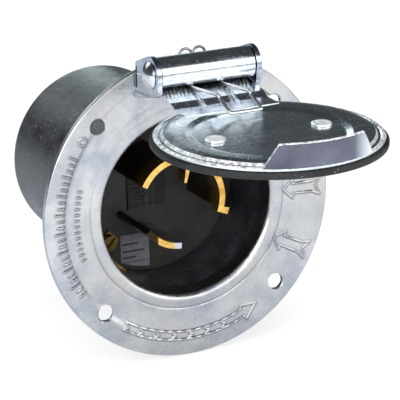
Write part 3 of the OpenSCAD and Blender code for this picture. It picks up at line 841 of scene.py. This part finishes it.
def makePin(part):
    shaft, end = part["shaft"], earOutside + 0.2
    solids = []
    for side, height in zip((-1, 1), part["heights"]):
        verts, faces = turnedSolid(domeProfile(part["head"], height, part["edge"]), 64)
        verts[:, 2] = side * (earOutside + 0.05 + verts[:, 2])
        solids.append((verts, faces))
    solids.append(turnedSolid([(0, -end), (shaft, -end), (shaft, end), (0, end)], 64))
    obj = buildMesh("hingePin", onPin, joined(solids), 40)
    fit(obj, steelBright, "housing", "plated_steel", "hinge_pin")


springTails = {"wire": 0.42, "eye": 2.2, "places": ((-1.5, 51.1, 0.0), (3.1, 51.3, 0.2)), "foot": 44.8}


def makeTails(part):
    eye, foot, wire = part["eye"], part["foot"], part["wire"]
    y = rimFace - hingeBracket["baseThickness"] - wire - 0.1
    solids = []
    for x, z, lean in part["places"]:
        path = [(x - eye, foot, y), (x - eye, z - 2, y)]
        path += [(x - eye * math.cos(a), z + eye * math.sin(a), y - lean * math.sin(a))
                 for a in np.linspace(0, math.pi, 9)]
        path += [(x + eye, z - 2, y), (x + eye, foot, y)]
        solids.append(tube(smoothPath(path, 3), wire))
    obj = buildMesh("springTails", onPanel, joined(solids), 60)
    fit(obj, steelTailShaded, "housing", "spring_wire", "spring_tails")


makeBracket(hingeBracket)
makePin(hingePin)
makeTails(springTails)
print("hinge made")

# lid: pressed cover, thumb lip, leaf and barrel
lidCover = {
    "radius": 34.2, "bead": 3.1, "crown": (28.8, 4.0), "dish": (24.6, 3.8), "floor": (22.6, 3.1),
    "sheet": 0.95, "crinkle": 0.07, "segments": 720,
}
thumbLip = {
    "baseHalf": 31.0, "topHalf": 23.5, "height": 10.2, "foot": 2.3, "low": 3.0, "sheet": 0.9,
    "crinkle": 0.1,
}
hingeLeaf = {
    "barrel": 5.4, "freeEdge": -38, "half": 16.0, "end": (10.4, -6.4), "foot": 13.6, "reach": 21.0,
    "ribs": (6.0, -5.4), "rib": 0.55, "edge": 0.16,
}


def makeCover(part):
    t, radius = part["sheet"], part["radius"]
    floor, dish, crown = (np.array(part[key]) for key in ("floor", "dish", "crown"))
    under = gasketThickness + 0.05
    top = rounded([(0, floor[1]), floor, dish, crown, (31.3, 3.75), (31.9, 2.85), (32.6, 2.75),
                   (33.1, 3.15), (33.8, 3.15), (radius, part["bead"] - 0.3), (radius, under),
                   (31.2, under), crown - (0.5, t), dish - (0, t), floor - (0, t), (0, floor[1] - t)],
                  [0, 2.5, 2.5, 1.2, 0.5, 0.3, 0.3, 0.35, 0.35, 0.3, 0.3, 0.6, 1.2, 1.5, 1.5, 0], 6,
                  closed=False)
    v, f = turnedSolid(top, part["segments"])
    r = np.hypot(v[:, 0], v[:, 1])
    a = np.arctan2(v[:, 1], v[:, 0])
    edge = smoothStep(r, 30.9, 31.4)
    ripple = wobble(a, 4, range(40, 150, 7)) + 0.6 * wobble(a, 5, range(9, 30, 4))
    v[:, 2] += edge * part["crinkle"] * ripple * (v[:, 2] > 2.4)
    v[:, :2] *= (1 - 0.0012 * edge * (1 + wobble(a, 6, range(60, 170, 9))))[:, None]
    v[:, 2] += 0.05 * np.sin(v[:, 0] / 6.0) * np.cos(v[:, 1] / 7.5) * (1 - edge)
    disc = buildMesh("lidCover", onDisc, (v, f))
    fit(disc, zincLid, "lid", "zinc_lid", "lid_cover")
    disc.data.materials.append(zincEdgeHighlight)
    for face in disc.data.polygons:  # hammered rim; its up-facing faces get near-white mottled zinc, a painted highlight
        c = intoLid(face.center / mm) - seatMiddle
        r = math.hypot(c[0], c[1])
        if (r > 33.1 or 31.15 < r < 31.8) and c[2] > 2.5 and face.normal[2] > 0.2:
            face.material_index = 1


def makeLip(part):
    r = lidCover["radius"] - 0.1
    foot, low, height, sheet = (part[key] for key in ("foot", "low", "height", "sheet"))
    baseHalf, topHalf, half = part["baseHalf"], part["topHalf"], part["sheet"] / 2
    stations = np.linspace(-baseHalf, baseHalf, 160)
    slope = smoothStep(np.abs(stations), topHalf - 4, baseHalf)
    ends = np.clip((baseHalf - np.abs(stations)) / (baseHalf - topHalf), 0, 1)
    tops = low + (height - low) * np.minimum(1, ends ** 0.9) - 0.5 * slope * (ends >= 1)
    tops += part["crinkle"] * wobble(np.radians(stations) * 6, 8, range(9, 40, 4)) * (ends > 0.3)
    rings = []
    for a, top in zip(np.radians(stations), tops):
        lean = 0.25 * (top - foot) / height
        shoulder = top - 0.4
        wall = [(k, foot + (shoulder - foot) * k) for k in (0.3, 0.6, 1.0)]
        section = [(r, foot)] + [(r, h) for k, h in wall]
        section += [(r - half + half * math.cos(b), shoulder + 0.4 * math.sin(b))
                    for b in np.linspace(0.3, 2.84, 6)]
        section += [(r - sheet, h) for k, h in wall[::-1]] + [(r - sheet, foot)]
        for q, h in section:
            reach = q - lean * (h - foot) / 8
            rings.append((reach * math.sin(a), reach * math.cos(a), h))
    count = len(section)
    shape = (np.array(rings), sleeve(len(stations), count))
    obj = buildMesh("thumbLip", onDisc, shape, 50)
    fit(obj, zincLipShaded, "lid", "zinc_lid")
    obj.data.materials.append(zincEdgeHighlight)
    lastRing = len(rings) - count
    for face in obj.data.polygons:  # painted highlight: the crest, up-facing faces and end of the sheared lip get near-white mottled zinc
        crest = face.index % count in range(3, 9) and face.normal[2] > 0
        if face.normal[2] > 0.25 or crest or min(face.vertices) >= lastRing:
            face.material_index = 1


def makeLeaf(part):
    # one sheet: round the pin, then down and out to the cover's crown
    t = lidCover["sheet"]
    mid, foot, (endX, endZ) = part["barrel"] - t / 2, part["foot"], part["end"]
    crown = lidFace + lidCover["crown"][1]
    bends = [(0.0, -mid), (endX, endZ - t / 2), (foot, crown - t / 2 + 0.25),
             (part["reach"], crown - t / 2 + 0.2)]
    line = arc((0, 0), mid, part["freeEdge"], 270, 56)[:-1]
    line = np.vstack([line, rounded(bends, [0, 1.4, 1.4, 0], 6, closed=False)])
    along = np.gradient(line, axis=0)
    along /= np.linalg.norm(along, axis=1)[:, None]
    off = np.column_stack([-along[:, 1], along[:, 0]]) * t / 2
    v, f = extruded(np.vstack([line + off, (line - off)[::-1]]), -part["half"], part["half"])
    leaf = buildMesh("hingeLeaf", onLid, (v[:, [2, 0, 1]], f), 30)
    bevelled(leaf, part["edge"], 2, 50)
    fit(leaf, zincHinge, "lid", "zinc_hinge")
    ribs = []
    for x in part["ribs"]:
        path = [(x, 7.0, endZ + 0.25), (x, endX, endZ + 0.02),
                (x, foot - 0.4, crown + 0.35), (x, foot + 2.4, crown + 0.02)]
        ribs.append(tube(smoothPath(path, 6), part["rib"]))
    fit(buildMesh("leafRibs", onLid, joined(ribs), 60), zincHinge, "lid", "zinc_hinge")


makeCover(lidCover)
makeLip(thumbLip)
makeLeaf(hingeLeaf)
print("lid made")

# gasket and rivets
lidGasket = {"radius": 35.2, "hole": 26.1, "recess": 0.8, "segments": 480}
lidRivet = {"spread": 17.6, "head": 3.15, "height": 0.85, "shank": 1.6, "tail": 2.6}


def makeGasket(part):
    t, radius, hole, recess = gasketThickness, part["radius"], part["hole"], part["recess"]
    ring = rounded([(0, t), (radius - 0.15, t), (radius, t - 0.3), (radius, 0.35), (radius - 0.35, 0),
                    (hole, 0), (hole, recess), (0, recess)],
                   [0, 0.3, 0.5, 0.5, 0.3, 0.2, 0.1, 0], closed=False)
    v, f = turnedSolid(ring, part["segments"])
    a = np.arctan2(v[:, 1], v[:, 0])
    uneven = wobble(a, 12, range(17, 120, 9)) * smoothStep(np.hypot(v[:, 0], v[:, 1]), 33, 35)
    v[:, :2] *= (1 - 0.0012 * (1 + uneven))[:, None]
    fit(buildMesh("lidGasket", onDisc, (v, f)), rubberBlack, "lid", "black_rubber", "lid_gasket")


def makeLidRivets(part):
    r, shank, tail = part["head"], part["shank"], part["tail"]
    low = lidCover["floor"][1] + 0.02
    high = low + part["height"]
    head = rounded([(0, low - 4.6), (tail, low - 4.6), (tail, low - 3.95), (shank, low - 3.9),
                    (shank, low), (r - 0.1, low), (r, low + 0.15), (r, high - 0.3),
                    (r - 0.35, high - 0.05), (r - 1.2, high - 0.02), (r - 1.5, high - 0.2),
                    (r - 1.9, high - 0.06), (0, high + 0.15)],
                   [0, 0.2, 0.1, 0, 0, 0, 0.1, 0.2, 0.2, 0.1, 0.1, 0.2, 0], 3, closed=False)
    solids = []
    for x in (-part["spread"], part["spread"]):
        v, f = turnedSolid(head, 72)
        v[:, 0] += x
        solids.append((v, f))
    obj = buildMesh("lidRivets", onDisc, joined(solids), 40)
    fit(obj, zincRivet, "lid", "plated_steel", "lid_rivets")


makeGasket(lidGasket)
makeLidRivets(lidRivet)
print("gasket and rivets made")

# spring: two coils on the pin and a U that presses on the lid
torsionSpring = {
    "wire": 0.55, "coil": 3.72, "legX": 5.3, "skew": 1.8, "pitch": 1.25, "end": 15.35,
    "bend": (20.1, -3.2), "bar": 26.2,
}


def makeSpring(part):
    wire, pitch, skew, legX, bar = (part[key] for key in ("wire", "pitch", "skew", "legX", "bar"))
    bendOut, bendUp = part["bend"]
    turns = math.floor((part["end"] - legX) / pitch)
    left = turns - np.arange(turns * 24 + 1) / 24
    a = np.radians(-90 - 360 * left)
    barHeight = lidFace + lidCover["crown"][1] + wire + 0.2
    # a leg's points: towards the middle, share of the skew, out from the pin, height
    bends = ((0, 0, 4.5, -4.35), (0, 0.2, 12, -3.8), (0, 0.4, bendOut - 1.2, bendUp + 0.1),
             (0, 0.5, bendOut, bendUp - 0.2), (0, 0.6, bendOut + 0.9, bendUp - 1),
             (0, 0.9, bar - 1.2, barHeight + 0.8), (0.2, 1, bar - 0.3, barHeight + 0.1),
             (1.1, 1, bar, barHeight))
    coils, legs = [], []
    for side in (-1, 1):
        coils.append(np.column_stack([side * (legX + pitch * left), part["coil"] * np.cos(a),
                                      part["coil"] * np.sin(a)]))
        legs.append([(side * (legX - inward) - share * skew, out, up)
                     for inward, share, out, up in bends])
    hand = [coils[0][-1], *legs[0], *legs[1][::-1], coils[1][-1]]
    path = np.vstack([coils[0], smoothPath(hand, 8)[1:-1], coils[1][::-1]])
    obj = buildMesh("torsionSpring", onLid, tube(path, wire, 14), 60)
    fit(obj, steelWire, "lid", "spring_wire", "torsion_spring")


makeSpring(torsionSpring)
print("spring made")

# nodes that keep their CAD shape, with eased edges
keptNodes = (
    (phenolicBlack, {"blade_carrier": 0.25, "terminal_housing": 0.3}),
    (brassTipHighlight, {"line_blade_1": 0.6}),
    (brassPlain, {"line_blade_2": 0.6, "line_blade_3": 0.6, "ground_blade": 0.5, "ground_strap": 0.15,
                  "ground_screw": 0.2, "terminal_clamps": 0.2}),
    (labelPaper, {"rating_label": 0.05}),
    (steelBright, {"terminal_screws": 0.2, "insulator_screws": 0.2, "can_screws": 0.35,
                   "bracket_rivets": 0.3, "gasket_retainer": 0.2}),
)


def finishNode(name, material, edge):
    obj = frame["nodes"][name]
    mesh = obj.data
    if "custom_normal" in mesh.attributes:
        mesh.attributes.remove(mesh.attributes["custom_normal"])
    mesh.polygons.foreach_set("use_smooth", [True] * len(mesh.polygons))
    mesh.materials.clear()
    mesh.materials.append(material)
    weld = obj.modifiers.new("weld", "WELD")
    weld.merge_threshold = 0.002 * mm
    bevelled(obj, edge, 3, 32)


for finish, edges in keptNodes:
    for nodeName, edge in edges.items():
        finishNode(nodeName, finish, edge)

# moulded ribs on the carrier's pad, and plain bars on the label
padRibs = {
    "centre": (-2.0, -1.75), "width": 13.4, "height": 11.9, "gap": 0.8, "rib": 0.38, "proud": 0.45,
    "face": 28.2, "side": 4.2, "middle": (0.9, 1.9),
}
labelBars = {
    "left": -11.6, "rows": ((-20.4, 6.4), (-23.0, 8.6), (-25.2, 5.2)), "thick": 0.7,
    "rule": (-26.7, 9.8, 0.25),
}


def slab(x0, x1, z0, z1, y0, y1):
    return extruded(rounded([(x0, z0), (x1, z0), (x1, z1), (x0, z1)], 0.08, 2), y0, y1)


def makePadRibs(part):
    (cx, cz), wide, high, face = part["centre"], part["width"] / 2, part["height"] / 2, part["face"]
    side, (near, far) = part["side"], part["middle"]
    solids = []
    for i, z in enumerate(np.arange(cz - high + 0.4, cz + high, part["gap"])):
        spans = [(cx - wide, cx - wide + side), (cx + wide - side, cx + wide)]
        spans += [(cx - far, cx + far)] if i % 4 == 1 else [(cx - far, cx - near), (cx + near, cx + far)]
        solids += [slab(x0, x1, z, z + part["rib"], face - part["proud"], face + 0.1)
                   for x0, x1 in spans]
    obj = bevelled(buildMesh("carrierRibs", onPanel, joined(solids)), 0.08, 2)
    fit(obj, phenolicBlack, "housing", "black_phenolic")


def makeLabelBars(part):
    face = boxOf("rating_label")[0][1]
    left = part["left"]
    bars = [(z, length, part["thick"]) for z, length in part["rows"]] + [part["rule"]]
    solids = [slab(left, left - 0.3 + length, z, z + thick, face - 0.03, face + 0.05)
              for z, length, thick in bars]
    fit(buildMesh("labelBars", onPanel, joined(solids)), labelInk, "housing", "label_grey")


makePadRibs(padRibs)
makeLabelBars(labelBars)
print("inside finished")

# floor, light and camera
studio = {
    "floorDrop": 0.5, "floorSize": 12.0, "floorSeen": 0.22, "floorGlow": 0.76, "floorFade": (50, -100),
    "floorFront": (0.72, 0.74, 0.77), "floorBack": (0.46, 0.5, 0.55),
    "overhead": (0.05, 0.055, 0.06), "horizon": (0.1, 0.105, 0.12), "world": 1.0,
    # compass angles, heights, soft edge, power, colour
    "panels": (((-70, 75), (6, 38), 4, 2.7, (1.0, 1.0, 1.0)),
               ((186, 226), (21, 44), 6, 1.9, (0.86, 0.98, 1.0)),
               ((155.8, 174), (9, 19), 2.2, 3.6, (0.82, 0.98, 1.0))),
    # name, place, width, power, whether it shows in polished metal
    "lamps": (("topFill", (-0.3, -0.6, 1.5), 2.2, 55, False),
              ("leftKey", (-1.1, -0.9, 0.7), 0.5, 9, True)),
}


def softBox(tree, heading, azimuth, heights, edge):
    # 1 inside a window of compass angle and height, with a soft border
    left, right, low, high, soft = np.radians((*azimuth, *heights, edge)).tolist()
    half = (right - left) / 2
    turn = addNode(tree, "VectorRotate", {"Vector": heading, "Angle": -(left + right) / 2},
                   rotation_type="Z_AXIS")
    x, y, z = addNode(tree, "SeparateXYZ", {0: turn.outputs[0]}).outputs
    compass = maths(tree, "ABSOLUTE", maths(tree, "ARCTAN2", x, maths(tree, "MULTIPLY", y, -1.0)))
    height = maths(tree, "ARCSINE", z)
    beside = spread(tree, compass, half + soft, half - soft)
    above = spread(tree, height, low - soft, low + soft)
    below = spread(tree, height, high + soft, high - soft)
    return maths(tree, "MULTIPLY", beside, maths(tree, "MULTIPLY", above, below))


def makeWorld(part):
    world = bpy.data.worlds.new("studio")
    bpy.context.scene.world = world
    world.use_nodes = True
    tree = world.node_tree
    heading = addNode(tree, "TexCoord").outputs["Generated"]
    up = addNode(tree, "SeparateXYZ", {0: heading}).outputs[2]
    colour = blendColour(tree, spread(tree, up, 0.0, 0.5), part["horizon"], part["overhead"])
    for azimuth, heights, edge, power, tone in part["panels"]:
        mask = softBox(tree, heading, azimuth, heights, edge)
        colour = blendColour(tree, mask, colour, [c * power for c in tone])
    seen = addNode(tree, "LightPath").outputs["Is Camera Ray"]
    colour = blendColour(tree, seen, colour, (1.0, 1.0, 1.0))
    plug(tree, tree.nodes["Background"], {"Color": colour, "Strength": part["world"]})


def makeFloor(part):
    size, z = part["floorSize"], cadBox[0][2] - part["floorDrop"] * mm
    mesh = bpy.data.meshes.new("floor")
    corners = [(-size, -size, z), (size, -size, z), (size, size, z), (-size, size, z)]
    mesh.from_pydata(corners, [], [[0, 1, 2, 3]])
    floor = newObject("floor", mesh)
    mat, tree, shader, place = newMaterial("paleFloor", {"specular": 0.0})
    seen = addNode(tree, "LightPath").outputs["Is Camera Ray"]
    fade = spread(tree, addNode(tree, "SeparateXYZ", {0: place}).outputs[1], *part["floorFade"])
    mirrored = blendColour(tree, fade, part["floorBack"], part["floorFront"])
    plug(tree, shader, {
        "Base Color": blendColour(tree, seen, mirrored, (part["floorSeen"],) * 3), "Roughness": 0.9,
        "Emission Color": blendColour(tree, seen, (0.0, 0.0, 0.0), (1.0, 1.0, 1.0)),
        "Emission Strength": part["floorGlow"]})
    mesh.materials.append(mat)


def addLamp(name, place, size, power, mirrored):
    data = bpy.data.lights.new(name, "AREA")
    data.size = size
    data.energy = power
    lamp = newObject(name, data)
    lamp.location = place
    lamp.rotation_euler = (-Vector(place)).to_track_quat("-Z", "Y").to_euler()
    lamp.visible_camera = False
    lamp.visible_glossy = mirrored


cameraSetup = {
    "eye": (-241.28, -511.0, 177.69), "aim": (2.827, -3.252, 2.46), "roll": -1.378, "lens": 163.6,
    "sensor": 36,
}


def makeCamera(part):
    data = bpy.data.cameras.new("camera")
    data.lens, data.sensor_width = part["lens"], part["sensor"]
    data.clip_start, data.clip_end = 0.05, 60
    camera = newObject("camera", data)
    eye = Vector(part["eye"]) * mm
    look = (Vector(part["aim"]) * mm - eye).to_track_quat("-Z", "Y")
    camera.rotation_mode = "QUATERNION"
    camera.rotation_quaternion = look @ Quaternion((0, 0, 1), math.radians(part["roll"]))
    camera.location = eye
    bpy.context.scene.camera = camera


makeWorld(studio)
makeFloor(studio)
for lamp in studio["lamps"]:
    addLamp(*lamp)
makeCamera(cameraSetup)
bpy.context.scene.view_settings.view_transform = "Standard"
print("studio ready")
